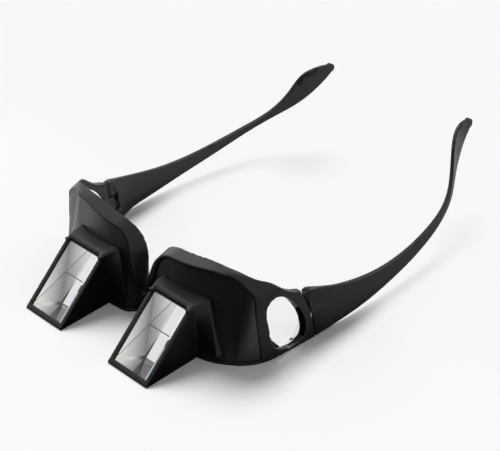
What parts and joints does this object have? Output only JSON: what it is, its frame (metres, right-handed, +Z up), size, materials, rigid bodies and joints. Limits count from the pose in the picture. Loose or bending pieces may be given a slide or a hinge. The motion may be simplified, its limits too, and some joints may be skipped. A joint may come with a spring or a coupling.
{
  "type": "prism bed glasses",
  "caption": "Black wrap-around glasses whose prism boxes turn the view, for reading or watching while lying flat, with folding temples.",
  "frame": {"origin": "on the surface that the glasses stand on, upside down, under the middle of the whole box with the temples open", "axes": "+Z up as the glasses stand, which is down on the wearer; -Y is where the prism windows face; the temples run to +Y; +X is the wearer's right"},
  "size_m": [0.1584, 0.2098, 0.042],
  "materials": {
    "front_plastic": "satin moulded black",
    "panel_plastic": "matte black",
    "housing_plastic": "satin moulded black",
    "temple_plastic": "satin moulded black",
    "prism_glass": "polished window and back, ground sides, silvered foot",
    "clear_plastic": "clear moulded plastic",
    "pin_steel": "drawn wire"
  },
  "bodies": {
    "front": {"front_frame": "front_plastic", "right_lens_panel": "panel_plastic", "left_lens_panel": "panel_plastic", "right_prism_housing": "housing_plastic", "left_prism_housing": "housing_plastic", "right_prism": "prism_glass", "left_prism": "prism_glass", "right_prism_retainer": "housing_plastic", "left_prism_retainer": "housing_plastic", "right_side_lens": "clear_plastic", "left_side_lens": "clear_plastic", "right_hinge_pin": "pin_steel", "left_hinge_pin": "pin_steel"},
    "right_temple": {"right_temple": "temple_plastic"},
    "left_temple": {"left_temple": "temple_plastic"}
  },
  "joints": [
    {"name": "right_temple_fold", "type": "hinge", "parent": "front", "child": "right_temple", "pos_m": [0.0742, -0.03131, 0.012], "axis": [0, 0, 1], "range_deg": [0, 85]},
    {"name": "left_temple_fold", "type": "hinge", "parent": "front", "child": "left_temple", "pos_m": [-0.0742, -0.03131, 0.012], "axis": [0, 0, -1], "range_deg": [0, 80]}
  ]
}
